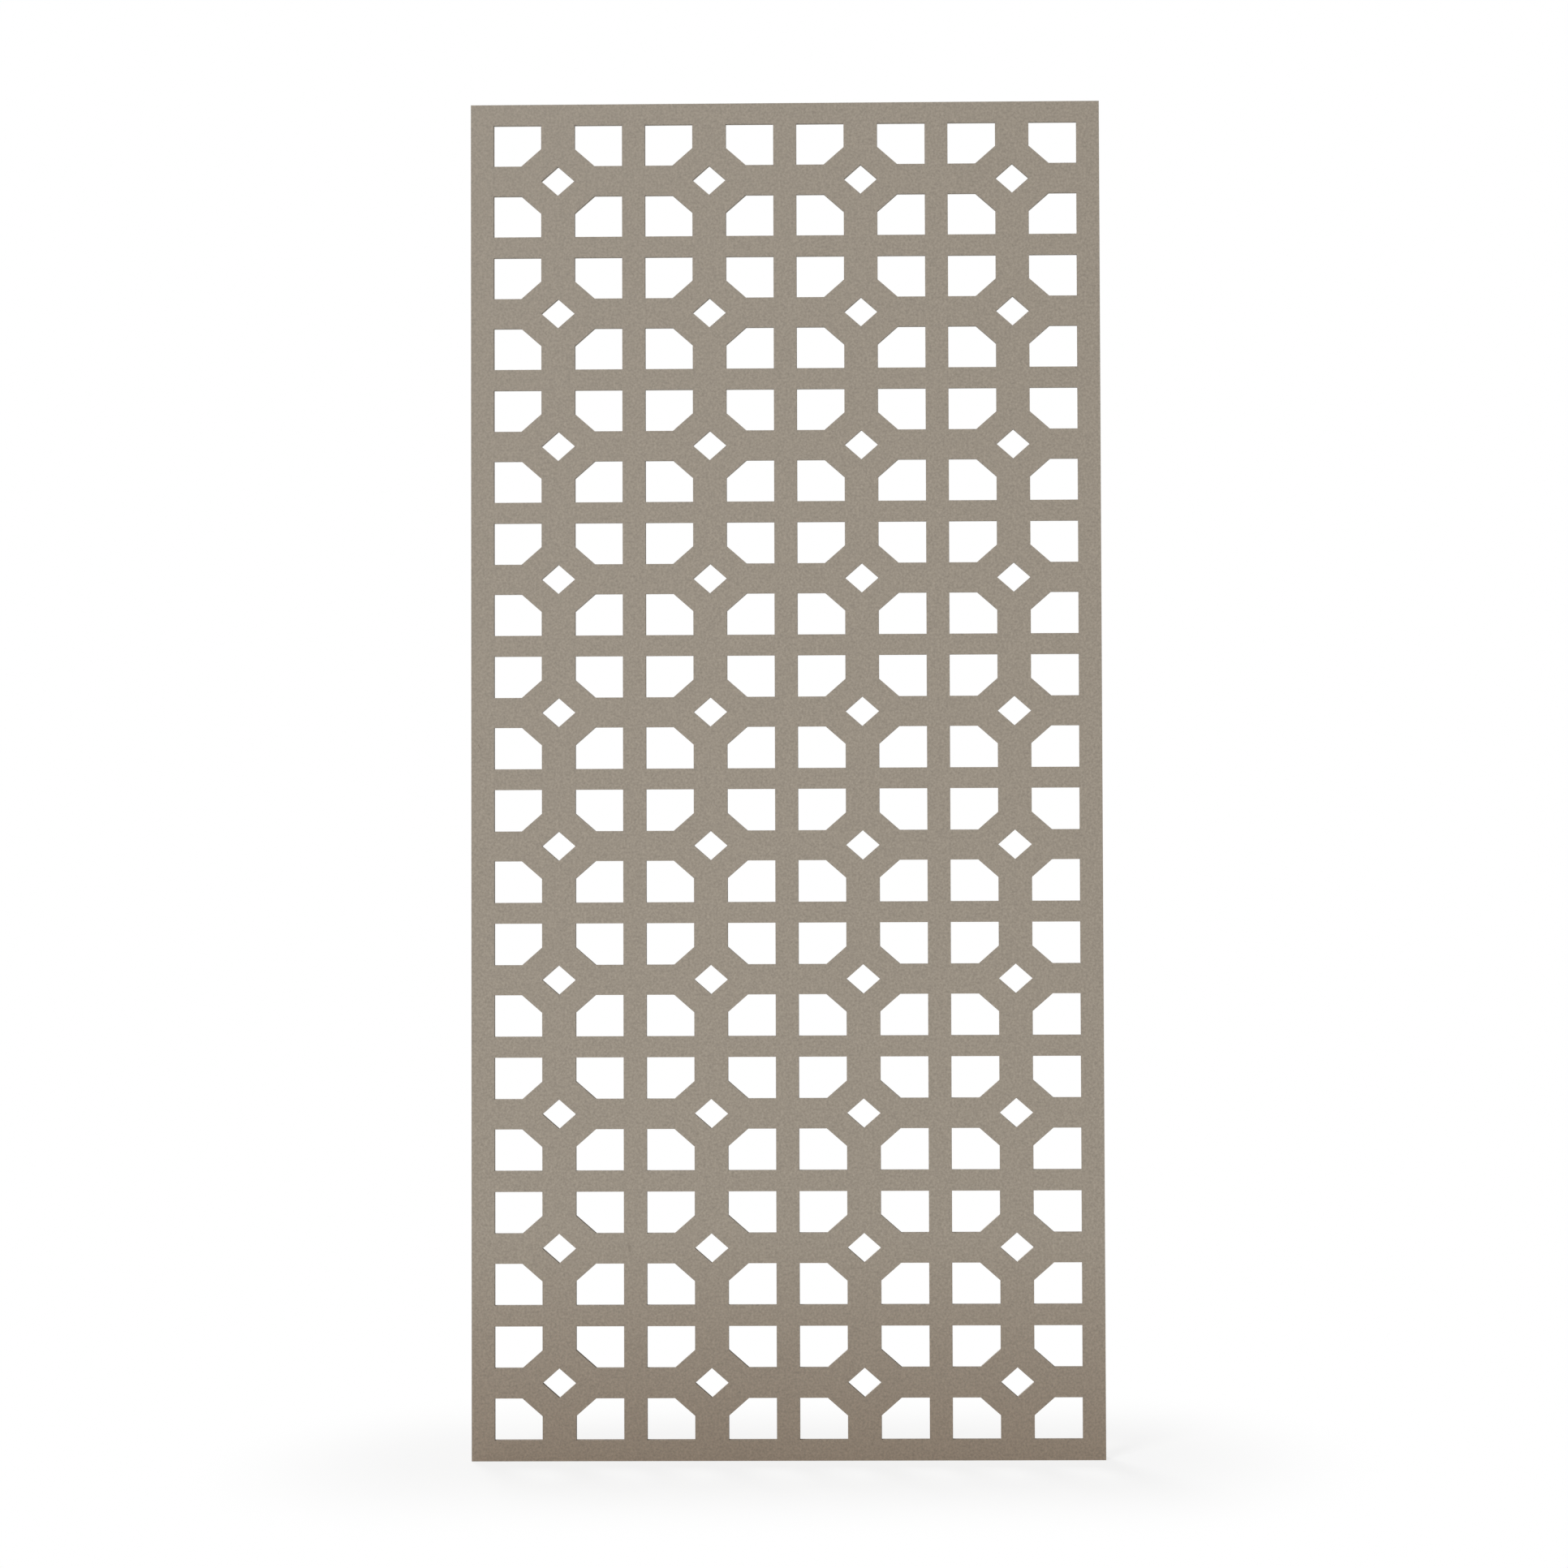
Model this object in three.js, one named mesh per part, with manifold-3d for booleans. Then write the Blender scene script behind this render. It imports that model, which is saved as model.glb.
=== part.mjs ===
// Laser cut metal screen: a rigid room-divider panel.
//
// One laser cut sheet is the skin that carries the pattern. Nearly half of its area is cut away,
// so a welded frame of square tube stiffens it from behind. Every tube lies behind a solid bar
// of the pattern and is narrower than that bar, so none of the frame shows from the front. The
// outer tubes lie flush with the edges of the sheet.
//
// Frame: millimetres, +Z up, the origin at the middle of the bottom edge and at mid depth. The
// sheet looks along -Y, X runs across the panel.

import * as THREE from 'three';
import { mergeGeometries, mergeVertices } from 'three/addons/utils/BufferGeometryUtils.js';
import Module from 'manifold-3d';

// ---------------------------------------------------------------- driving dimensions
// Pattern: COLS by ROWS modules. A module is four openings with one corner cut off, round a
// diamond. Upright sizes end in _Z, sizes across the panel in _X.
const COLS = 4;
const ROWS = 10;
const OPENING_X = 69.1;      // width of one five-sided opening
const OPENING_Z = 59.9;      // its height
const CHAMFER_X = 29.0;      // how much of its corner is cut off, across
const CHAMFER_Z = 25.4;      // and upright
const WEB_X = 48.7;          // upright web between the two openings of a module
const WEB_Z = 43.5;          // horizontal web between them
const BAR_X = 33.3;          // upright bar between neighbouring modules
const BAR_Z = 30.2;          // horizontal bar between them
const MARGIN_X = 33.3;       // solid border at the left and right edges
const MARGIN_Z = 30.2;       // solid border at the top and bottom edges
const DIAMOND_X = 48.4;      // diamond opening, corner to corner across
const DIAMOND_Z = 42.4;      // corner to corner upright
const SKIN_T = 6.0;          // thickness of the sheet

// Frame of square tube behind the sheet.
const TUBE = 20.0;           // tube, outside
const TUBE_WALL = 2.0;
const TUBE_CORNER = 2.5;     // radius of its outer corners
const CORNER_STEPS = 3;      // facets in each outer corner
const MITRE_GAP = 0.3;       // root gap left in each mitred corner
const RAIL_EVERY = 2;        // a cross rail stands behind every second horizontal bar

// Drain holes in the underside of the bottom rail, one under each column of the pattern.
const DRAIN_D = 8.0;
const DRAIN_SIDES = 12;

// ---------------------------------------------------------------- derived sizes
const PITCH_X = 2 * OPENING_X + WEB_X + BAR_X;
const PITCH_Z = 2 * OPENING_Z + WEB_Z + BAR_Z;
const WIDTH = COLS * PITCH_X - BAR_X + 2 * MARGIN_X;
const HEIGHT = ROWS * PITCH_Z - BAR_Z + 2 * MARGIN_Z;
const DEPTH = SKIN_T + TUBE;

const FRONT_Y = -DEPTH / 2;                 // face of the sheet
const TUBE_Y = FRONT_Y + SKIN_T + TUBE / 2; // middle of every tube

// Middle of a module, and of the bar that follows it.
const moduleX = (col) => -WIDTH / 2 + MARGIN_X + (PITCH_X - BAR_X) / 2 + col * PITCH_X;
const moduleZ = (row) => MARGIN_Z + (PITCH_Z - BAR_Z) / 2 + row * PITCH_Z;
const barX = (i) => moduleX(i) + PITCH_X / 2;
const barZ = (i) => moduleZ(i) + PITCH_Z / 2;

// ---------------------------------------------------------------- pieces and materials
const SKIN_COLOUR = 0x9b9185;
const FRAME_COLOUR = 0x91877a;
const coat = (color, roughness) => new THREE.MeshStandardMaterial({ color, roughness, metalness: 0.1 });
const skinCoat = () => coat(SKIN_COLOUR, 0.6);
const frameCoat = () => coat(FRAME_COLOUR, 0.65);

const screen = new THREE.Group();

function addPiece(name, geometry, material, place) {
  geometry.deleteAttribute('normal');
  geometry.deleteAttribute('uv');
  const mesh = new THREE.Mesh(mergeVertices(geometry, 1e-5), material);
  mesh.name = name;
  mesh.position.copy(place);
  screen.add(mesh);
}

// ---------------------------------------------------------------- solids, for cutting
const wasm = await Module();
wasm.setup();

function toSolid(geometry) {
  geometry.deleteAttribute('normal');
  geometry.deleteAttribute('uv');
  const merged = mergeVertices(geometry, 1e-5);
  return new wasm.Manifold(new wasm.Mesh({
    numProp: 3,
    vertProperties: new Float32Array(merged.attributes.position.array),
    triVerts: new Uint32Array(merged.index.array),
  }));
}

// Cuts every cutter out of the stock. The cutters don't touch each other, so they go as one.
function cutAway(stock, cutters) {
  const cut = toSolid(stock).subtract(toSolid(mergeGeometries(cutters))).getMesh();
  const geometry = new THREE.BufferGeometry();
  geometry.setAttribute('position', new THREE.BufferAttribute(new Float32Array(cut.vertProperties), 3));
  geometry.setIndex(new THREE.BufferAttribute(new Uint32Array(cut.triVerts), 1));
  return geometry;
}

// ---------------------------------------------------------------- laser cut sheet
// An opening is drawn once, for the quarter of the module up and to the right of its middle,
// and mirrored into the other three quarters by the signs sx and sz.
function openingOutline(cx, cz, sx, sz) {
  const x0 = WEB_X / 2;
  const z0 = WEB_Z / 2;
  const x1 = x0 + OPENING_X;
  const z1 = z0 + OPENING_Z;
  const corners = [
    [x0 + CHAMFER_X, z0], [x1, z0], [x1, z1], [x0, z1], [x0, z0 + CHAMFER_Z],
  ];
  return corners.map(([x, z]) => new THREE.Vector2(cx + sx * x, cz + sz * z));
}

function diamondOutline(cx, cz) {
  const corners = [[DIAMOND_X / 2, 0], [0, DIAMOND_Z / 2], [-DIAMOND_X / 2, 0], [0, -DIAMOND_Z / 2]];
  return corners.map(([x, z]) => new THREE.Vector2(cx + x, cz + z));
}

// A flat piece drawn in X and Z that runs along +Y from y0 to y1.
function slab(outline, y0, y1) {
  const geometry = new THREE.ExtrudeGeometry(new THREE.Shape(outline), { depth: y1 - y0, bevelEnabled: false });
  geometry.rotateX(Math.PI / 2);
  geometry.translate(0, y1, 0);
  return geometry;
}

function laserCutSkin() {
  const blank = slab([
    new THREE.Vector2(-WIDTH / 2, 0), new THREE.Vector2(WIDTH / 2, 0),
    new THREE.Vector2(WIDTH / 2, HEIGHT), new THREE.Vector2(-WIDTH / 2, HEIGHT),
  ], 0, SKIN_T);
  const outlines = [];
  for (let row = 0; row < ROWS; row++) {
    for (let col = 0; col < COLS; col++) {
      const cx = moduleX(col);
      const cz = moduleZ(row);
      for (const sx of [-1, 1]) {
        for (const sz of [-1, 1]) outlines.push(openingOutline(cx, cz, sx, sz));
      }
      outlines.push(diamondOutline(cx, cz));
    }
  }
  return cutAway(blank, outlines.map((outline) => slab(outline, -SKIN_T, 2 * SKIN_T)));
}

addPiece('front_skin', laserCutSkin(), skinCoat(), new THREE.Vector3(0, FRONT_Y, 0));

// ---------------------------------------------------------------- square tube
// The points of a square, drawn counterclockwise, with corners of some radius or sharp ones.
function squareOutline(size, radius, steps) {
  const points = [];
  for (let corner = 0; corner < 4; corner++) {
    const start = corner * Math.PI / 2;
    const sx = corner === 1 || corner === 2 ? -1 : 1;
    const sy = corner >= 2 ? -1 : 1;
    const cx = sx * (size / 2 - radius);
    const cy = sy * (size / 2 - radius);
    const count = radius > 0 ? steps : 0;
    for (let i = 0; i <= count; i++) {
      const angle = start + (i / steps) * Math.PI / 2;
      points.push(new THREE.Vector2(cx + radius * Math.cos(angle), cy + radius * Math.sin(angle)));
    }
  }
  return points;
}

// Every tube is drawn upright with its middle at the origin. For a mitred corner both ends are
// cut at 45 degrees, so that the tube is shortened on its +X side (cutSide 1) or its -X side
// (cutSide -1). cutSide 0 leaves the ends square.
function tubeGeometry(length, cutSide = 0) {
  const section = new THREE.Shape(squareOutline(TUBE, TUBE_CORNER, CORNER_STEPS));
  const boreCorner = Math.max(TUBE_CORNER - TUBE_WALL, 0);
  const bore = squareOutline(TUBE - 2 * TUBE_WALL, boreCorner, 1);
  section.holes.push(new THREE.Path(bore.reverse()));
  const geometry = new THREE.ExtrudeGeometry(section, { depth: length, bevelEnabled: false });
  geometry.translate(0, 0, -length / 2);
  if (cutSide !== 0) {
    const p = geometry.attributes.position;
    for (let i = 0; i < p.count; i++) {
      const inset = TUBE / 2 + cutSide * p.getX(i) + MITRE_GAP / Math.SQRT2;
      p.setZ(i, p.getZ(i) - Math.sign(p.getZ(i)) * inset);
    }
  }
  return geometry;
}

// Lays an upright tube down along X; what was its +X side comes to face +Z.
const LAY_DOWN = new THREE.Matrix4().makeBasis(
  new THREE.Vector3(0, 0, 1), new THREE.Vector3(0, 1, 0), new THREE.Vector3(-1, 0, 0));

// ---------------------------------------------------------------- perimeter frame
const stileX = WIDTH / 2 - TUBE / 2;
const bottomRailZ = TUBE / 2;
const topRailZ = HEIGHT - TUBE / 2;

addPiece('left_stile', tubeGeometry(HEIGHT, 1), frameCoat(),
  new THREE.Vector3(-stileX, TUBE_Y, HEIGHT / 2));
addPiece('right_stile', tubeGeometry(HEIGHT, -1), frameCoat(),
  new THREE.Vector3(stileX, TUBE_Y, HEIGHT / 2));
addPiece('top_rail', tubeGeometry(WIDTH, -1).applyMatrix4(LAY_DOWN), frameCoat(),
  new THREE.Vector3(0, TUBE_Y, topRailZ));

// The bottom rail is drilled through its lower wall, so that the tubes drain.
function drainCutter(x) {
  const drill = new THREE.CylinderGeometry(DRAIN_D / 2, DRAIN_D / 2, 2 * TUBE_WALL, DRAIN_SIDES);
  drill.rotateX(Math.PI / 2);
  return drill.translate(x, 0, -TUBE / 2);
}

const drains = Array.from({ length: COLS }, (_, col) => drainCutter(moduleX(col)));
addPiece('bottom_rail', cutAway(tubeGeometry(WIDTH, 1).applyMatrix4(LAY_DOWN), drains), frameCoat(),
  new THREE.Vector3(0, TUBE_Y, bottomRailZ));

// ---------------------------------------------------------------- inner frame
// Mullions run from rail to rail behind the upright bars. Cross rails close the bays between
// stiles and mullions, behind every RAIL_EVERY-th horizontal bar.
const mullionLength = HEIGHT - 2 * TUBE;
for (let i = 0; i < COLS - 1; i++) {
  addPiece(`mullion_${i + 1}`, tubeGeometry(mullionLength), frameCoat(),
    new THREE.Vector3(barX(i), TUBE_Y, HEIGHT / 2));
}

// Faces between which the cross rails of a bay are cut to fit.
const bayLeft = (col) => (col === 0 ? -stileX : barX(col - 1)) + TUBE / 2;
const bayRight = (col) => (col === COLS - 1 ? stileX : barX(col)) - TUBE / 2;

let level = 0;
for (let bar = RAIL_EVERY - 1; bar < ROWS - 1; bar += RAIL_EVERY) {
  level += 1;
  for (let col = 0; col < COLS; col++) {
    const length = bayRight(col) - bayLeft(col);
    const middle = (bayRight(col) + bayLeft(col)) / 2;
    addPiece(`cross_rail_${level}_${col + 1}`, tubeGeometry(length).applyMatrix4(LAY_DOWN),
      frameCoat(), new THREE.Vector3(middle, TUBE_Y, barZ(bar)));
  }
}

export default screen;
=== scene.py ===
# %% [markdown]
# # A laser cut metal screen
# The object is one rigid panel of a room screen: a single laser cut sheet on a welded frame of
# square tube, all powder coated in a flat taupe. Every tube hides behind a solid bar of the
# pattern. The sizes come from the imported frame, in metres: X runs across the panel, +Z up, and
# the sheet looks along -Y.

# %% Load the frame
import math
import bpy
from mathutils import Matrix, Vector


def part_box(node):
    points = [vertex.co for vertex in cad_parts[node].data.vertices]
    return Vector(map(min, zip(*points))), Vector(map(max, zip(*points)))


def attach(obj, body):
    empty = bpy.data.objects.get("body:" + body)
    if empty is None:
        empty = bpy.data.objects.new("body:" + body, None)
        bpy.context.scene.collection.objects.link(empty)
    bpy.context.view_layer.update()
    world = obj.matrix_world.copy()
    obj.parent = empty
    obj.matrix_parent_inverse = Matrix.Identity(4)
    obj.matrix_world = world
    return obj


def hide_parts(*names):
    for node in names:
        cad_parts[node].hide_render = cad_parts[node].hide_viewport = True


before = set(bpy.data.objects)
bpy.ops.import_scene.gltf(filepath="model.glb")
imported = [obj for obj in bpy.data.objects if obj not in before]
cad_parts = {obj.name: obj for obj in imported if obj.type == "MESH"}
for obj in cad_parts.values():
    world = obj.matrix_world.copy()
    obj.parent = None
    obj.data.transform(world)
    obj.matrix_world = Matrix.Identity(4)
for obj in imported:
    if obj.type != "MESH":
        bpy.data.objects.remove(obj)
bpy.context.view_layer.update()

skin_low, skin_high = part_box("front_skin")
mullion_low, mullion_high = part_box("mullion_2")
WIDTH = skin_high[0] - skin_low[0]
HEIGHT = skin_high[2] - skin_low[2]
SKIN = skin_high[1] - skin_low[1]
TUBE = mullion_high[0] - mullion_low[0]
TUBE_Y = (mullion_low[1] + mullion_high[1]) / 2
print("panel", round(WIDTH, 4), "by", round(HEIGHT, 4), "m; sheet", round(SKIN * 1000, 2),
      "mm; tube", round(TUBE * 1000, 2), "mm")

# %% [markdown]
# ## The rule behind the pattern
# The lattice is four columns and ten rows of one module: four five-sided openings, each a
# rectangle with one corner cut off, round a diamond. Nothing is placed by hand. A handful of
# widths gives every edge, which is how the cutting file of a real sheet is drawn too. The frame
# follows the same rule: tubes stand on the bars' middles.

# %% Sizes of the lattice and the frame, in metres
COLS, ROWS = 4, 10
OPENING = (0.0691, 0.0599)
CHAMFER = (0.0290, 0.0254)
WEB = (0.0487, 0.0435)
BAR = (0.0333, 0.0302)
DIAMOND = (0.0484, 0.0424)
PITCH = tuple(2 * OPENING[i] + WEB[i] + BAR[i] for i in (0, 1))

MULLIONS = COLS - 1
LEVELS = 4
LEVEL_STEP = 2 * PITCH[1]
MIDDLE = HEIGHT / 2
SIDE_X = WIDTH / 2 - TUBE / 2
print("module pitch", [round(1000 * p, 2) for p in PITCH], "mm; panel from the rule",
      round(COLS * PITCH[0] + BAR[0], 4), round(ROWS * PITCH[1] + BAR[1], 4))

# %% [markdown]
# ## A small notation for Geometry Nodes
# Geometry Nodes are usually wired by mouse. In a script each node is a few lines of plumbing, so
# this helper keeps the plumbing in one place: `node` adds a node and wires its inputs, and the
# arithmetic methods add a Math node each. What follows then reads like the geometry it makes.

# %% Tree builder
SOCKET_OF = {int: "NodeSocketInt", float: "NodeSocketFloat", tuple: "NodeSocketVector"}
SHARP_ANGLE = math.radians(35)
SAME_POINT = 1e-6
EDGE_SEGMENTS = 2


class Tree:
    def __init__(self, name, **inputs):
        self.tree = bpy.data.node_groups.new(name, "GeometryNodeTree")
        face = self.tree.interface
        face.new_socket("Geometry", in_out="OUTPUT", socket_type="NodeSocketGeometry")
        for label, start in inputs.items():
            kind = SOCKET_OF.get(type(start), "NodeSocketMaterial")
            socket = face.new_socket(label.replace("_", " "), in_out="INPUT", socket_type=kind)
            if start is not None:
                socket.default_value = start
        self.inputs = self.tree.nodes.new("NodeGroupInput").outputs

    def __getitem__(self, label):
        return self.inputs[label]

    def node(self, kind, wires=None, out=0, **settings):
        made = self.tree.nodes.new(kind)
        for key, value in settings.items():
            setattr(made, key, value)
        for key, value in (wires or {}).items():
            for one in value if isinstance(value, list) else [value]:
                if isinstance(one, bpy.types.NodeSocket):
                    self.tree.links.new(one, made.inputs[key])
                else:
                    made.inputs[key].default_value = one
        return made.outputs[out]

    def math(self, operation, a, b=0.0):
        return self.node("ShaderNodeMath", {0: a, 1: b}, operation=operation)

    def add(self, a, b):
        return self.math("ADD", a, b)

    def sub(self, a, b):
        return self.math("SUBTRACT", a, b)

    def mul(self, a, b):
        return self.math("MULTIPLY", a, b)

    def xyz(self, x=0.0, y=0.0, z=0.0):
        return self.node("ShaderNodeCombineXYZ", {0: x, 1: y, 2: z})

    def place(self, axis):
        """One coordinate of the points of whatever mesh reads it: 0, 1 or 2."""
        return self.node("ShaderNodeSeparateXYZ", {0: self.node("GeometryNodeInputPosition")}, out=axis)

    def join(self, *parts):
        return self.node("GeometryNodeJoinGeometry", {0: list(reversed(parts))})

    def moved(self, part, offset=(0, 0, 0), turn=(0, 0, 0), scale=(1, 1, 1)):
        return self.node("GeometryNodeTransform",
                         {"Geometry": part, "Translation": offset, "Rotation": turn, "Scale": scale})

    def outline(self, corners):
        """A closed curve through the corners, each a vector socket."""
        points = self.node("GeometryNodePoints", {"Count": len(corners)})
        pick = self.tree.nodes.new("GeometryNodeIndexSwitch")
        pick.data_type = "VECTOR"
        while len(pick.index_switch_items) < len(corners):
            pick.index_switch_items.new()
        self.tree.links.new(self.node("GeometryNodeInputIndex"), pick.inputs["Index"])
        for i, corner in enumerate(corners):
            self.tree.links.new(corner, pick.inputs[i + 1])
        placed = self.node("GeometryNodeSetPosition", {"Geometry": points, "Position": pick.outputs[0]})
        curve = self.node("GeometryNodePointsToCurves", {"Points": placed})
        return self.node("GeometryNodeSetSplineCyclic", {"Geometry": curve, "Cyclic": True})

    def rectangle(self, width, height):
        return self.node("GeometryNodeCurvePrimitiveQuadrilateral", {"Width": width, "Height": height},
                         mode="RECTANGLE")

    def grid(self, nx, ny, step_x, step_y):
        """nx by ny points about the origin, in the XY plane."""
        index = self.node("GeometryNodeInputIndex")
        column = self.math("FLOORED_MODULO", index, nx)
        row = self.math("FLOOR", self.math("DIVIDE", index, nx))
        x = self.mul(self.sub(column, self.mul(self.sub(nx, 1), 0.5)), step_x)
        y = self.mul(self.sub(row, self.mul(self.sub(ny, 1), 0.5)), step_y)
        points = self.node("GeometryNodePoints", {"Count": self.mul(nx, ny)})
        return self.node("GeometryNodeSetPosition", {"Geometry": points, "Position": self.xyz(x, y)})

    def copies(self, points, part):
        made = self.node("GeometryNodeInstanceOnPoints", {"Points": points, "Instance": part})
        return self.node("GeometryNodeRealizeInstances", {0: made})

    def upright_copies(self, nx, nz, step_x, step_z, part):
        """Copies on a grid that stands in the XZ plane; the copies themselves aren't turned."""
        points = self.moved(self.grid(nx, nz, step_x, step_z), turn=(math.pi / 2, 0, 0))
        return self.copies(points, part)

    def solid(self, curves, thickness):
        """Fills flat curves and gives the face a thickness towards +Z: a closed body."""
        face = self.node("GeometryNodeFillCurve", {"Curve": curves}, mode="NGONS")
        top = self.node("GeometryNodeExtrudeMesh",
                        {"Mesh": face, "Offset": self.xyz(0.0, 0.0, 1.0), "Offset Scale": thickness,
                         "Individual": False})
        both = self.join(top, self.node("GeometryNodeFlipFaces", {"Mesh": face}))
        return self.node("GeometryNodeMergeByDistance", {"Geometry": both, "Distance": SAME_POINT})

    def smooth(self, part):
        """Rounds off the shading, but keeps it sharp over edges that turn by more than SHARP_ANGLE."""
        rounded = self.node("GeometryNodeSetShadeSmooth", {"Geometry": part, "Shade Smooth": True})
        turn = self.node("GeometryNodeInputMeshEdgeAngle")
        soft = self.math("LESS_THAN", turn, SHARP_ANGLE)
        return self.node("GeometryNodeSetShadeSmooth", {"Geometry": rounded, "Shade Smooth": soft},
                         domain="EDGE")

    def group(self, tree, **wires):
        """Runs another tree as one node of this one."""
        named = {label.replace("_", " "): value for label, value in wires.items()}
        return self.node("GeometryNodeGroup", named, node_tree=tree)

    def finish(self, part, material):
        whole = self.node("GeometryNodeRealizeInstances", {0: part})
        done = self.node("GeometryNodeSetMaterial", {"Geometry": whole, "Material": material})
        self.tree.links.new(done, self.tree.nodes.new("NodeGroupOutput").inputs[0])
        return self.tree


def count_open(mesh):
    sides = {}
    for face in mesh.polygons:
        for key in face.edge_keys:
            sides[key] = sides.get(key, 0) + 1
    return sum(1 for n in sides.values() if n != 2)


def grow(name, tree, bevel=0.0, **values):
    """Runs a tree on an empty object and keeps the result as a plain mesh."""
    piece = bpy.data.objects.new(name, bpy.data.meshes.new(name))
    bpy.context.scene.collection.objects.link(piece)
    made = piece.modifiers.new("shape", "NODES")
    made.node_group = tree
    known = {i.name: i.identifier for i in tree.interface.items_tree if i.in_out == "INPUT"}
    for label, value in values.items():
        made[known[label.replace("_", " ")]] = value
    if bevel:
        edge = piece.modifiers.new("edge", "BEVEL")
        edge.width, edge.segments = bevel, EDGE_SEGMENTS
        edge.limit_method, edge.angle_limit = "ANGLE", SHARP_ANGLE
        edge.harden_normals = True
    bpy.context.view_layer.update()
    graph = bpy.context.evaluated_depsgraph_get()
    mesh = bpy.data.meshes.new_from_object(piece.evaluated_get(graph), depsgraph=graph)
    piece.modifiers.clear()
    piece.data = mesh
    mesh.name = name
    print(name + ":", len(mesh.polygons), "faces,", count_open(mesh), "open edges")
    return piece

# %% [markdown]
# ## The laser cut sheet
# A laser follows outlines, so the sheet is made from outlines too: the quarter opening is drawn
# once and mirrored into four, a kite makes the diamond, and the module is copied onto a grid of
# points. Filling all these curves inside one rectangle gives the cut face, and its thickness
# follows by extrusion. A bevel of 0.35 mm afterwards is what the powder coat leaves of the sharp
# laser edge.

# %% Tree of the cut sheet
def cut_sheet_tree():
    t = Tree("cut sheet", Columns=1, Rows=1, Opening_Width=0.07, Opening_Height=0.06,
             Chamfer_Width=0.03, Chamfer_Height=0.025, Web_Width=0.05, Web_Height=0.04,
             Bar_Width=0.03, Bar_Height=0.03, Diamond_Width=0.05, Diamond_Height=0.04,
             Thickness=0.003, Position=(0.0, 0.0, 0.0), Material=None)
    x0 = t.mul(t["Web Width"], 0.5)
    z0 = t.mul(t["Web Height"], 0.5)
    x1 = t.add(x0, t["Opening Width"])
    z1 = t.add(z0, t["Opening Height"])
    quarter = t.outline([t.xyz(t.add(x0, t["Chamfer Width"]), z0), t.xyz(x1, z0), t.xyz(x1, z1),
                         t.xyz(x0, z1), t.xyz(x0, t.add(z0, t["Chamfer Height"]))])
    pair = t.join(quarter, t.moved(quarter, scale=(-1, 1, 1)))
    four = t.join(pair, t.moved(pair, scale=(1, -1, 1)))
    half_height = t.mul(t["Diamond Height"], 0.5)
    diamond = t.node("GeometryNodeCurvePrimitiveQuadrilateral",
                     {"Width": t["Diamond Width"], "Bottom Height": half_height,
                      "Top Height": half_height}, mode="KITE")
    pitch_x = t.add(t.mul(x1, 2), t["Bar Width"])
    pitch_z = t.add(t.mul(z1, 2), t["Bar Height"])
    holes = t.copies(t.grid(t["Columns"], t["Rows"], pitch_x, pitch_z), t.join(four, diamond))
    border = t.rectangle(t.add(t.mul(t["Columns"], pitch_x), t["Bar Width"]),
                         t.add(t.mul(t["Rows"], pitch_z), t["Bar Height"]))
    sheet = t.solid(t.join(border, holes), t["Thickness"])
    upright = t.moved(sheet, offset=t["Position"], turn=(math.pi / 2, 0, 0))
    return t.finish(upright, t["Material"])


sheet_tree = cut_sheet_tree()
print("cut sheet tree:", len(sheet_tree.nodes), "nodes")

# %% [markdown]
# ## The powder coat
# The finish is a thick, dry taupe powder coat. Close up it has a fine grain, from the powder
# particles that ran together in the oven, and very faint clouds. In the bottom third of a metre
# the colour is painted darker and browner, as painted shade towards the floor. The coat is built
# in the object's own metres: a fine noise for the grain, a broad one for the clouds, a ramp on
# height that paints this shade on the lower edge, and a mask on the normal that finds the small
# rounded edges, where powder draws thin and gets rubbed. On the sheet the grain is drawn out along
# Y, so on the cut walls of the openings it turns into the fine lines that a laser leaves. On the
# tubes and welds it is even in every direction.

# %% Colours and shader helper
def linear(r, g, b):
    """An 8-bit sRGB colour as the linear one that shaders take."""
    return tuple(((c / 255 + 0.055) / 1.055) ** 2.4 for c in (r, g, b)) + (1.0,)


TAUPE = linear(156, 146, 132)
# Painted shade near the floor: the darker, browner colour that the coat turns to at the bottom.
TAUPE_PAINTED_SHADE = linear(138, 124, 108)
TAUPE_RUBBED = linear(172, 164, 153)
SCUFF = linear(92, 82, 70)
# Height in metres below which the painted shade darkens the coat.
PAINTED_SHADE_FROM = 0.330
LASER_LINES = 0.2

# Noise scales, in features per metre, from the finest to the broadest.
POWDER_SCALE = 1100.0
RAGGED_SCALE = 400.0
GRAIN_SCALE = 320.0
RUB_SCALE = 60.0
CLOUD_SCALE = 9.0

GRAIN_STRENGTH = 0.23
CLOUD_STRENGTH = 0.006
POWDER_HEIGHT = 0.00006
GRAIN_SHARE = 0.8

# A rubbed edge is smoother, and a mark has a ragged outline and goes right through the sheet.
RUBBED_SMOOTHER = 0.12
RAGGED_BY = 0.35
THROUGH = 1e9


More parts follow.
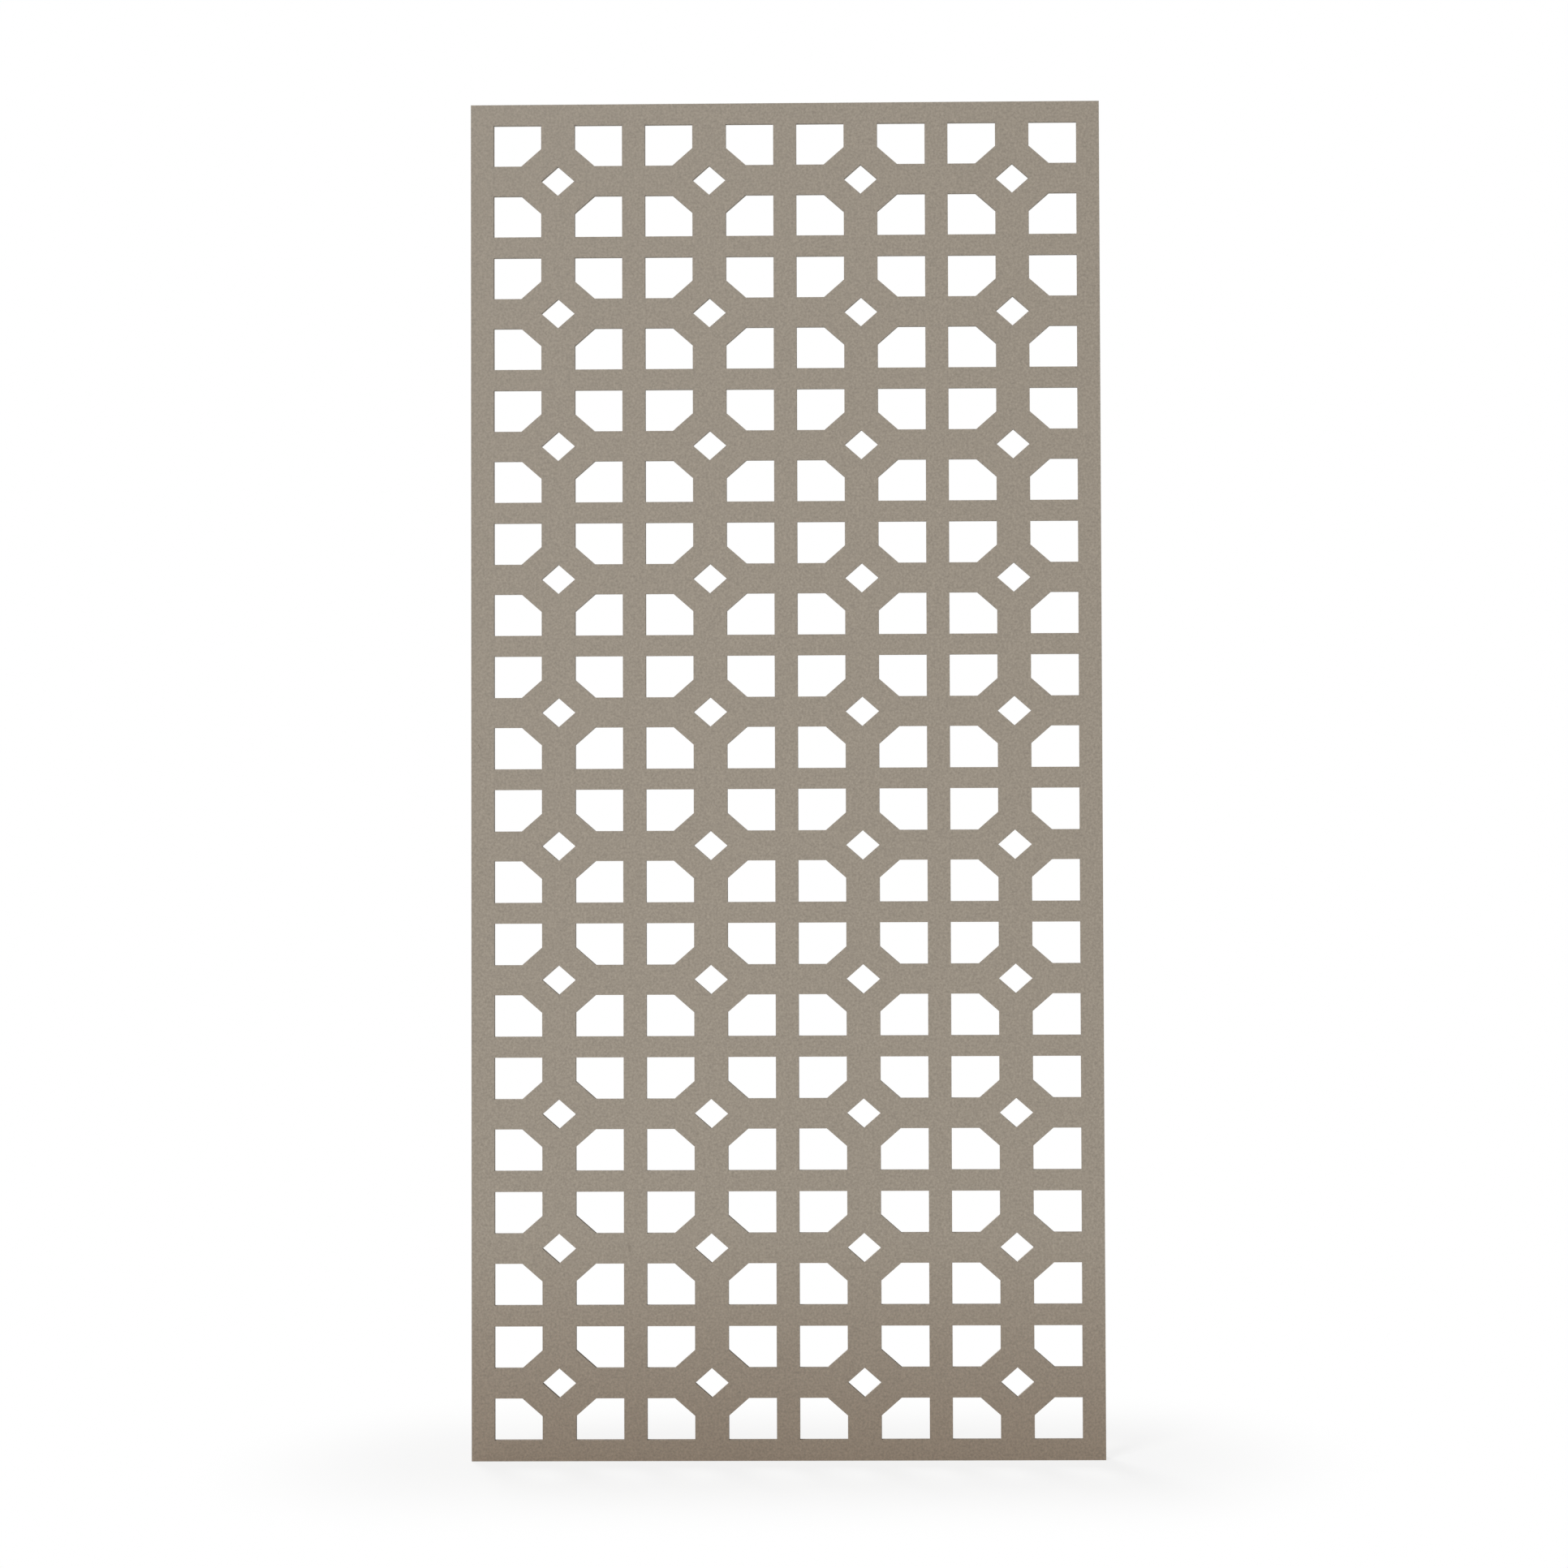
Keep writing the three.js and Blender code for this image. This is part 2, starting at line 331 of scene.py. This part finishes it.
class Finish:
    def __init__(self, name):
        self.material = bpy.data.materials.new(name)
        self.material.use_nodes = True
        self.nodes = self.material.node_tree.nodes
        self.links = self.material.node_tree.links
        self.shader = self.nodes["Principled BSDF"]
        self.place = self.node("ShaderNodeTexCoord", out="Object")

    def node(self, kind, wires=None, out=0, **settings):
        made = self.nodes.new(kind)
        for key, value in settings.items():
            setattr(made, key, value)
        for key, value in (wires or {}).items():
            if isinstance(value, bpy.types.NodeSocket):
                self.links.new(value, made.inputs[key])
            else:
                made.inputs[key].default_value = value
        return made.outputs[out]

    def math(self, operation, a, b=0.0):
        return self.node("ShaderNodeMath", {0: a, 1: b}, operation=operation)

    def noise(self, place, scale, detail=2.0, roughness=0.5):
        return self.node("ShaderNodeTexNoise", {"Vector": place, "Scale": scale, "Detail": detail,
                                                "Roughness": roughness})

    def span(self, value, low, high, to_low=0.0, to_high=1.0):
        return self.node("ShaderNodeMapRange", {"Value": value, "From Min": low, "From Max": high,
                                                "To Min": to_low, "To Max": to_high})

    def mix(self, amount, a, b):
        return self.node("ShaderNodeMix", {0: amount, 6: a, 7: b}, out=2, data_type="RGBA")

    def tint(self, colour, factor):
        """Multiplies a colour by a number."""
        return self.node("ShaderNodeVectorMath", {0: colour, "Scale": factor}, operation="SCALE")

    def set(self, **values):
        for key, value in values.items():
            socket = self.shader.inputs[key.replace("_", " ")]
            if isinstance(value, bpy.types.NodeSocket):
                self.links.new(value, socket)
            else:
                socket.default_value = value

    def bump(self, height, distance):
        self.set(Normal=self.node("ShaderNodeBump", {"Height": height, "Distance": distance}))
        return self.material


# %% The coat
def taupe_coat(name, tone=1.0, rough=0.60, rub=0.8, along_y=1.0, marks=()):
    f = Finish(name)
    height = f.node("ShaderNodeSeparateXYZ", {0: f.place}, out=2)
    # Painted shade: the colour turns darker and browner from a third of a metre down to the floor.
    colour = f.mix(f.span(height, PAINTED_SHADE_FROM, 0.0), TAUPE, TAUPE_PAINTED_SHADE)
    drawn = f.node("ShaderNodeVectorMath", {0: f.place, 1: (1.0, along_y, 1.0)}, operation="MULTIPLY")
    grain = f.noise(drawn, GRAIN_SCALE, roughness=0.6)
    clouds = f.noise(f.place, CLOUD_SCALE)
    shade = f.math("ADD", f.span(grain, 0.25, 0.75, 1.0 - GRAIN_STRENGTH, 1.0 + GRAIN_STRENGTH),
                   f.span(clouds, 0.3, 0.7, -CLOUD_STRENGTH, CLOUD_STRENGTH))
    colour = f.tint(colour, f.math("MULTIPLY", shade, tone))
    # Only the rounded edges face partly along the thickness and partly across it.
    normal = f.node("ShaderNodeTexCoord", out="Normal")
    facing = f.math("ABSOLUTE", f.node("ShaderNodeSeparateXYZ", {0: normal}, out=1))
    edge = f.math("MULTIPLY", f.span(facing, 0.05, 0.3), f.span(facing, 0.99, 0.9))
    patches = f.span(f.noise(f.place, RUB_SCALE, detail=4.0), 0.42, 0.7, 0.0, rub)
    rubbed = f.math("MULTIPLY", edge, patches)
    colour = f.mix(rubbed, colour, TAUPE_RUBBED)
    ragged = f.span(f.noise(f.place, RAGGED_SCALE, detail=3.0), 0.3, 0.7, -RAGGED_BY, RAGGED_BY)
    for x, z, angle, length, width, depth in marks:
        spot = f.node("ShaderNodeMapping",
                      {"Vector": f.place, "Location": (x, 0.0, z), "Rotation": (0.0, angle, 0.0),
                       "Scale": (length, THROUGH, width)}, vector_type="TEXTURE")
        from_middle = f.node("ShaderNodeVectorMath", {0: spot}, out=1, operation="LENGTH")
        reach = f.math("ADD", from_middle, ragged)
        colour = f.mix(f.span(reach, 1.0, 0.35, 0.0, depth), colour, SCUFF)
    dry = f.span(grain, 0.3, 0.7, rough - 0.05, rough + 0.06)
    smoother = f.math("MULTIPLY", rubbed, RUBBED_SMOOTHER)
    f.set(Base_Color=colour, Roughness=f.math("SUBTRACT", dry, smoother))
    fine = f.math("ADD", f.noise(drawn, POWDER_SCALE), f.math("MULTIPLY", grain, GRAIN_SHARE))
    return f.bump(fine, POWDER_HEIGHT)


# Faint scuffs of handling: place across and up, turn, half length, half width, strength.
HANDLING = [
    (-0.4455, 1.031, 1.1, 0.0060, 0.0011, 0.45),
    (-0.4470, 1.024, -1.0, 0.0035, 0.0010, 0.40),
    (-0.2290, 0.308, 1.5, 0.0080, 0.0035, 0.30),
    (-0.1150, 0.116, 0.1, 0.0060, 0.0010, 0.30),
    (-0.4160, 0.026, 0.0, 0.0016, 0.0013, 0.60),
    (0.3730, 0.031, 0.4, 0.0018, 0.0013, 0.55),
]
skin_coat = taupe_coat("taupe_powder_coat", along_y=LASER_LINES, marks=HANDLING)
tube_coat = taupe_coat("taupe_powder_coat_tube", rub=0.5)
weld_coat = taupe_coat("taupe_powder_coat_weld", tone=0.97, rough=0.56, rub=0.0)
print("coats:", [m.name for m in bpy.data.materials if m.name.startswith("taupe")])

# %% Cut the sheet
EDGE_ROUND = 0.00035
sheet = grow("laser_cut_sheet", sheet_tree, bevel=EDGE_ROUND, Columns=COLS, Rows=ROWS,
             Opening_Width=OPENING[0], Opening_Height=OPENING[1], Chamfer_Width=CHAMFER[0],
             Chamfer_Height=CHAMFER[1], Web_Width=WEB[0], Web_Height=WEB[1], Bar_Width=BAR[0],
             Bar_Height=BAR[1], Diamond_Width=DIAMOND[0], Diamond_Height=DIAMOND[1],
             Thickness=SKIN, Position=(0, skin_high[1], MIDDLE), Material=skin_coat)
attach(sheet, "root")
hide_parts("front_skin")

# %% [markdown]
# ## The tube frame
# Square tube is drawn through a die, so its corners are round and its wall is even. The tree
# fillets one square outside and one inside, fills the ring between them and extrudes it along
# the tube. A mitred end is the same tube with its end points slid along by as much as they lie
# to one side. Where a tube has drain holes, a row of cylinders is taken out of its lower wall.
# The frame hides behind the bars of the lattice, and shows at a slant through the openings and
# all along the panel's edges.

# %% Tree of a set of tubes
TUBE_WALL = 0.002
TUBE_CORNER = 0.0025
BORE_CORNER = TUBE_CORNER - TUBE_WALL
MITRE_GAP = 0.0003
DRAIN_RADIUS = 0.004
CORNER_STEPS = 4
DRILL_SIDES = 24
DRILL_WALLS = 4


def tube_tree():
    t = Tree("square tube", Length=1.0, Width=0.02, Wall=0.002, Corner_Radius=0.002,
             Bore_Radius=0.001, Mitre=0.0, Root_Gap=0.0, Drains=0, Drain_Step=0.2,
             Drain_Radius=0.004, Turn=(0.0, 0.0, 0.0), Position=(0.0, 0.0, 0.0), Copies_Across=1,
             Copies_Up=1, Step_Across=0.1, Step_Up=0.1, Material=None)

    def square(size, radius):
        return t.node("GeometryNodeFilletCurve",
                      {"Curve": t.rectangle(size, size), "Radius": radius, "Count": CORNER_STEPS},
                      mode="POLY")

    bore = t.sub(t["Width"], t.mul(t["Wall"], 2))
    ring = t.join(square(t["Width"], t["Corner Radius"]), square(bore, t["Bore Radius"]))
    tube = t.moved(t.solid(ring, t["Length"]), offset=t.xyz(0.0, 0.0, t.mul(t["Length"], -0.5)))

    # Each end slides back by half the width, and by more or less on either side of the middle.
    root = t.mul(t["Root Gap"], math.sqrt(0.5))
    inset = t.add(t.add(t.mul(t["Width"], 0.5), t.mul(t["Mitre"], t.place(0))), root)
    slide = t.mul(t.mul(t.math("SIGN", t.place(2)), inset), t.mul(t.math("ABSOLUTE", t["Mitre"]), -1.0))
    tube = t.node("GeometryNodeSetPosition", {"Geometry": tube, "Offset": t.xyz(0.0, 0.0, slide)})

    # The drills stand in a row along the tube and go through the wall on its -X side.
    drill = t.node("GeometryNodeMeshCylinder",
                   {"Vertices": DRILL_SIDES, "Radius": t["Drain Radius"],
                    "Depth": t.mul(t["Wall"], DRILL_WALLS)})
    row = t.moved(t.grid(1, t["Drains"], 0.0, t["Drain Step"]), turn=(math.pi / 2, 0, 0))
    drills = t.copies(row, t.moved(drill, turn=(0, math.pi / 2, 0)))
    drills = t.moved(drills, offset=t.xyz(t.mul(t["Width"], -0.5), 0.0, 0.0))
    drilled = t.node("GeometryNodeMeshBoolean", {"Mesh 1": tube, "Mesh 2": drills},
                     operation="DIFFERENCE", solver="EXACT")
    tube = t.node("GeometryNodeSwitch",
                  {"Switch": t.math("GREATER_THAN", t["Drains"], 0), "False": tube, "True": drilled},
                  input_type="GEOMETRY")

    turned = t.moved(t.smooth(tube), turn=t["Turn"])
    spread = t.upright_copies(t["Copies Across"], t["Copies Up"], t["Step Across"], t["Step Up"], turned)
    return t.finish(t.moved(spread, offset=t["Position"]), t["Material"])


tube_set = tube_tree()
print("tube tree:", len(tube_set.nodes), "nodes")

# %% [markdown]
# ## Setting out the tubes
# One tree makes every tube. The stiles and rails of the outer frame are mitred: the sign of
# `Mitre` says which side of the tube is the short one. A tube that lies down is the upright one
# with a quarter turn, which brings its -X side underneath. Mullions and cross rails come as
# sets, because they repeat with the pitch of the pattern.

# %% Set out the tubes
LAID = (0.0, -math.pi / 2, 0.0)
INNER_BAY = PITCH[0] - TUBE
OUTER_BAY = SIDE_X - PITCH[0] - TUBE
OUTER_MIDDLE = (SIDE_X + PITCH[0]) / 2
section = dict(Width=TUBE, Wall=TUBE_WALL, Corner_Radius=TUBE_CORNER, Bore_Radius=BORE_CORNER,
               Root_Gap=MITRE_GAP, Drain_Radius=DRAIN_RADIUS, Material=tube_coat)
levels = dict(Copies_Up=LEVELS, Step_Up=LEVEL_STEP)


def tube_piece(name, nodes, slot, x=0.0, z=MIDDLE, **values):
    piece = grow(name, tube_set, Position=(x, TUBE_Y, z), **section, **values)
    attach(piece, "root")
    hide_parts(*nodes)


def rails_in(*bays):
    return [f"cross_rail_{level}_{bay}" for level in range(1, LEVELS + 1) for bay in bays]


tube_piece("left_stile_tube", ["left_stile"], "edge_coat", x=-SIDE_X, Length=HEIGHT, Mitre=1.0)
tube_piece("right_stile_tube", ["right_stile"], "edge_coat", x=SIDE_X, Length=HEIGHT, Mitre=-1.0)
tube_piece("top_rail_tube", ["top_rail"], "edge_coat", z=HEIGHT - TUBE / 2, Length=WIDTH, Mitre=-1.0,
           Turn=LAID)
tube_piece("bottom_rail_tube", ["bottom_rail"], "edge_coat", z=TUBE / 2, Length=WIDTH, Mitre=1.0,
           Turn=LAID, Drains=COLS, Drain_Step=PITCH[0])
tube_piece("mullion_tubes", [f"mullion_{i + 1}" for i in range(MULLIONS)], "core_coat",
           Length=HEIGHT - 2 * TUBE, Copies_Across=MULLIONS, Step_Across=PITCH[0])
tube_piece("inner_cross_tubes", rails_in(2, 3), "core_coat", Length=INNER_BAY, Turn=LAID,
           Copies_Across=2, Step_Across=PITCH[0], **levels)
tube_piece("outer_cross_tubes", rails_in(1, 4), "core_coat", Length=OUTER_BAY, Turn=LAID,
           Copies_Across=2, Step_Across=2 * OUTER_MIDDLE, **levels)
print("bays", round(INNER_BAY, 4), "and", round(OUTER_BAY, 4), "m")

# %% [markdown]
# ## Welds
# A weld bead is a row of small round pools, each frozen on the edge of the one before. The bead
# tree takes a thin cylinder, pinches it at every other ring for the ripples, and rounds it off
# towards both ends. From it come two sets. A joint has a bead down each side of the tube that
# ends there and one across its back, in the groove beside the rounded corner. A mitre has a bead
# in its inner corner. Those on its back and outer corner are ground flush, so only a thin line of
# weld is left in the root gap. Stitches hold the sheet: short beads in the groove between a
# tube's rounded corner and the sheet. They stand where the lattice is solid on both sides of the
# tube, so none shows in front.

# %% Trees of the welds
BEAD = 0.0021
RIPPLE = 0.0032
DRESSED = 0.0010
STITCH = 0.025
STITCH_RIPPLE = 0.005
BELOW_BACK = 0.00005
BEAD_SIDES = 6

# Every other ring is thinner by a share of the radius, and so are the last rings at the ends.
PINCH = 0.16
END_TAPER = 0.55
END_POWER = 8.0

# How far a bead's middle lies from the faces or corner that it joins, in radii of the bead.
TUCK = 0.25
BACK_GROOVE = 0.4
INNER_CORNER = 0.3
STITCH_LIFT = 0.6
DRESSED_SINK = 1.1


def bead_tree():
    t = Tree("weld bead", Length=0.02, Radius=0.002, Ripple=0.003)
    rings = t.mul(t.math("ROUND", t.math("DIVIDE", t["Length"], t["Ripple"])), 2)
    rod = t.node("GeometryNodeMeshCylinder",
                 {"Vertices": BEAD_SIDES, "Side Segments": rings, "Radius": t["Radius"],
                  "Depth": t["Length"]})
    along = t.math("DIVIDE", t.place(2), t["Length"])
    ring = t.math("ROUND", t.mul(t.add(along, 0.5), rings))
    pinch = t.sub(1.0, t.mul(t.math("FLOORED_MODULO", ring, 2.0), PINCH))
    end = t.math("POWER", t.math("ABSOLUTE", t.mul(along, 2.0)), END_POWER)
    width = t.mul(pinch, t.sub(1.0, t.mul(end, END_TAPER)))
    shaped = t.node("GeometryNodeSetPosition",
                    {"Geometry": rod, "Position": t.xyz(t.mul(t.place(0), width),
                                                        t.mul(t.place(1), width), t.place(2))})
    rounded = t.node("GeometryNodeSetShadeSmooth", {"Geometry": shaped, "Shade Smooth": True})
    t.tree.links.new(rounded, t.tree.nodes.new("NodeGroupOutput").inputs[0])
    return t.tree


bead = bead_tree()


def joint_tree():
    """Beads round the end of a tube that leaves the origin along +X, spread on a grid."""
    t = Tree("joint welds", Width=0.02, Corner_Radius=0.002, Bead=0.002, Ripple=0.003,
             Turn=(0.0, 0.0, 0.0), Position=(0.0, 0.0, 0.0), Copies_Across=1, Copies_Up=1,
             Step_Across=0.1, Step_Up=0.1)
    half = t.mul(t["Width"], 0.5)
    flat = t.sub(t["Width"], t.mul(t["Corner Radius"], 2))
    run = t.group(bead, Length=flat, Radius=t["Bead"], Ripple=t["Ripple"])
    tuck = t.mul(t["Bead"], TUCK)
    down = t.moved(run, turn=(math.pi / 2, 0, 0))
    over = t.moved(down, offset=t.xyz(tuck, 0.0, t.add(half, tuck)))
    under = t.moved(down, offset=t.xyz(tuck, 0.0, t.mul(t.add(half, tuck), -1.0)))
    low = t.add(t["Bead"], BELOW_BACK)
    back = t.moved(run, offset=t.xyz(t.mul(t["Bead"], -BACK_GROOVE), t.sub(half, low), 0.0))
    joint = t.moved(t.join(over, under, back), turn=t["Turn"])
    spread = t.upright_copies(t["Copies Across"], t["Copies Up"], t["Step Across"], t["Step Up"], joint)
    t.tree.links.new(t.moved(spread, offset=t["Position"]), t.tree.nodes.new("NodeGroupOutput").inputs[0])
    return t.tree


joint = joint_tree()


def mitres(t):
    """A bead in the inner corner of each mitre, and dressed ones on its back and outer corner."""
    inner = t.group(bead, Length=TUBE - 2 * TUBE_CORNER, Radius=BEAD, Ripple=RIPPLE)
    outer = t.group(bead, Length=TUBE - 2 * TUBE_CORNER, Radius=DRESSED, Ripple=RIPPLE)
    across = t.group(bead, Length=(TUBE - 2 * TUBE_CORNER) * math.sqrt(2), Radius=DRESSED,
                     Ripple=RIPPLE)
    deep = (math.pi / 2, 0.0, 0.0)
    sunk = DRESSED_SINK * DRESSED
    parts = []
    for sx in (-1, 1):
        for sz in (-1, 1):
            x, z = sx * SIDE_X, MIDDLE + sz * (MIDDLE - TUBE / 2)
            inward, outward = TUBE / 2 + BEAD * INNER_CORNER, TUBE / 2 - sunk
            parts.append(t.moved(inner, offset=(x - sx * inward, TUBE_Y, z - sz * inward), turn=deep))
            parts.append(t.moved(outer, offset=(x + sx * outward, TUBE_Y, z + sz * outward), turn=deep))
            parts.append(t.moved(across, offset=(x, TUBE_Y + TUBE / 2 - sunk, z),
                                 turn=(0.0, sx * sz * math.pi / 4, 0.0)))
    return t.join(*parts)


def frame_joints_tree():
    """Every place where a tube of the frame ends on another tube."""
    t = Tree("frame joints", Material=None)
    common = dict(Width=TUBE, Corner_Radius=TUBE_CORNER, Bead=BEAD, Ripple=RIPPLE)
    up = dict(Copies_Up=LEVELS, Step_Up=LEVEL_STEP)
    half = TUBE / 2
    right, left = (0.0, 0.0, 0.0), (0.0, math.pi, 0.0)
    rising, hanging = (0.0, -math.pi / 2, 0.0), (0.0, math.pi / 2, 0.0)
    sets = [
        (right, half, MIDDLE, dict(Copies_Across=MULLIONS, Step_Across=PITCH[0], **up)),
        (left, -half, MIDDLE, dict(Copies_Across=MULLIONS, Step_Across=PITCH[0], **up)),
        (right, half - SIDE_X, MIDDLE, up),
        (left, SIDE_X - half, MIDDLE, up),
        (rising, 0.0, TUBE, dict(Copies_Across=MULLIONS, Step_Across=PITCH[0])),
        (hanging, 0.0, HEIGHT - TUBE, dict(Copies_Across=MULLIONS, Step_Across=PITCH[0])),
    ]
    parts = [t.group(joint, Turn=turn, Position=(x, TUBE_Y, z), **common, **spread)
             for turn, x, z, spread in sets]
    return t.finish(t.join(mitres(t), *parts), t["Material"])


def stitches_tree():
    """Short beads beside the tubes, at the middle of every module that a tube passes."""
    t = Tree("sheet stitches", Material=None)
    upright = t.group(bead, Length=STITCH, Radius=BEAD, Ripple=STITCH_RIPPLE)
    lying = t.moved(upright, turn=(0.0, math.pi / 2, 0.0))
    side = TUBE / 2

    def pair(part, x=0.0, z=0.0):
        return t.join(t.moved(part, offset=(x, 0.0, z)), t.moved(part, offset=(-x, 0.0, -z)))

    parts = [
        t.upright_copies(MULLIONS, ROWS, PITCH[0], PITCH[1], pair(upright, x=side)),
        t.upright_copies(1, ROWS, 0.0, PITCH[1], pair(upright, x=SIDE_X - side)),
        t.upright_copies(COLS, LEVELS, PITCH[0], LEVEL_STEP, pair(lying, z=side)),
        t.upright_copies(COLS, 1, PITCH[0], 0.0, pair(lying, z=MIDDLE - TUBE)),
    ]
    whole = t.moved(t.join(*parts), offset=(0.0, skin_high[1] + STITCH_LIFT * BEAD, MIDDLE))
    return t.finish(whole, t["Material"])


joints_tree = frame_joints_tree()
print("bead tree:", len(bead.nodes), "nodes; joint tree:", len(joint.nodes), "nodes")

# %% Weld the joints and the sheet
joint_welds = grow("joint_welds", joints_tree, Material=weld_coat)
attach(joint_welds, "root")

sheet_stitches = grow("sheet_stitches", stitches_tree(), Material=weld_coat)
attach(sheet_stitches, "root")

# %% [markdown]
# ## The room and the light
# The photograph is a cut-out on white. The backdrop is plain white to the camera through Light
# Path, and so is the floor, except close round the panel, where it keeps a share of its own
# shading for a soft shadow. The key light is a broad sun, so that the face is as bright at the
# bottom as at the top. It stands above and to the left, which leaves the walls on the left of the
# openings in shade, as in the photograph. A weaker sun behind does the same for the frame.

# %% Floor
FLOOR_SIZE = 24.0
FLOOR_DROP = 0.0005
SHADOW_REACH = 0.45
SHADOW_KEEP = 0.2
WHITE = (1.0, 1.0, 1.0, 1.0)
FLOOR_GREY = (0.8, 0.8, 0.8, 1.0)


def floor_coat():
    """White to the camera; within SHADOW_REACH of the panel it keeps a share of its shading."""
    f = Finish("floor_white")
    x, y = (f.node("ShaderNodeSeparateXYZ", {0: f.place}, out=axis) for axis in (0, 1))
    beside = f.math("MAXIMUM", f.math("SUBTRACT", f.math("ABSOLUTE", x), WIDTH / 2), 0.0)
    away = f.node("ShaderNodeVectorMath",
                  {0: f.node("ShaderNodeCombineXYZ", {0: beside, 1: y})}, out=1, operation="LENGTH")
    near = f.node("ShaderNodeMapRange", {"Value": away, "From Min": SHADOW_REACH, "From Max": 0.0,
                                         "To Min": 0.0, "To Max": SHADOW_KEEP},
                  interpolation_type="SMOOTHERSTEP")
    seen = f.math("MAXIMUM", f.node("ShaderNodeLightPath", out="Is Camera Ray"),
                  f.node("ShaderNodeLightPath", out="Is Glossy Ray"))
    plain = f.math("MULTIPLY", seen, f.math("SUBTRACT", 1.0, near))
    diffuse = f.node("ShaderNodeBsdfDiffuse", {"Color": FLOOR_GREY})
    glow = f.node("ShaderNodeEmission", {"Color": WHITE, "Strength": 1.0})
    surface = f.node("ShaderNodeMixShader", {0: plain, 1: diffuse, 2: glow})
    f.links.new(surface, f.nodes["Material Output"].inputs["Surface"])
    f.nodes.remove(f.shader)
    return f.material


def lay_floor():
    mesh = bpy.data.meshes.new("floor")
    s = FLOOR_SIZE / 2
    corners = [(-s, -s, -FLOOR_DROP), (s, -s, -FLOOR_DROP), (s, s, -FLOOR_DROP), (-s, s, -FLOOR_DROP)]
    mesh.from_pydata(corners, [], [(0, 1, 2, 3)])
    mesh.materials.append(floor_coat())
    made = bpy.data.objects.new("floor", mesh)
    bpy.context.scene.collection.objects.link(made)


lay_floor()

# %% World and suns
ROOM = (1.0, 0.985, 0.965, 1.0)
ROOM_STRENGTH = 0.225
SUN_BREADTH = 25.0


def light_room():
    world = bpy.data.worlds.new("room")
    bpy.context.scene.world = world
    world.use_nodes = True
    nodes, links = world.node_tree.nodes, world.node_tree.links
    nodes.clear()
    room = nodes.new("ShaderNodeBackground")
    room.inputs["Color"].default_value = ROOM
    room.inputs["Strength"].default_value = ROOM_STRENGTH
    backdrop = nodes.new("ShaderNodeBackground")
    backdrop.inputs["Color"].default_value = WHITE
    seen = nodes.new("ShaderNodeMixShader")
    links.new(nodes.new("ShaderNodeLightPath").outputs["Is Camera Ray"], seen.inputs[0])
    links.new(room.outputs[0], seen.inputs[1])
    links.new(backdrop.outputs[0], seen.inputs[2])
    links.new(seen.outputs[0], nodes.new("ShaderNodeOutputWorld").inputs[0])


def sun(name, stands, strength):
    lamp = bpy.data.lights.new(name, "SUN")
    lamp.energy = strength
    lamp.angle = math.radians(SUN_BREADTH)
    made = bpy.data.objects.new(name, lamp)
    bpy.context.scene.collection.objects.link(made)
    made.rotation_euler = Vector(stands).to_track_quat("Z", "Y").to_euler()


light_room()
sun("key", (-0.50, -0.75, 0.45), 2.08)
sun("rear", (-0.45, 0.75, 0.48), 1.9)

# %% [markdown]
# ## The camera
# The rows stay level in the photograph, and yet the left walls of the openings show in nearly
# every column. So the camera looked square at the panel from a little right of its middle. It
# stands back far enough that the whole panel also fits in a view from the side. The lens is
# shifted just enough to bring the panel back into the frame.

# %% Camera
CAMERA_PLACE = (0.3, -3.6018, 0.904)
CAMERA_TURN = (1.5899, 0.0045, 0.0099)
CAMERA_SHIFT = (-0.1183, 0.0003)
CAMERA_LENS = 57.0
SENSOR = 36.0
FARTHEST = 60.0


def set_camera():
    data = bpy.data.cameras.new("camera")
    data.sensor_width, data.lens, data.clip_end = SENSOR, CAMERA_LENS, FARTHEST
    data.shift_x, data.shift_y = CAMERA_SHIFT
    camera = bpy.data.objects.new("camera", data)
    bpy.context.scene.collection.objects.link(camera)
    camera.location = CAMERA_PLACE
    camera.rotation_euler = CAMERA_TURN
    bpy.context.scene.camera = camera


set_camera()
bpy.context.scene.view_settings.view_transform = "Standard"

# %% Finish
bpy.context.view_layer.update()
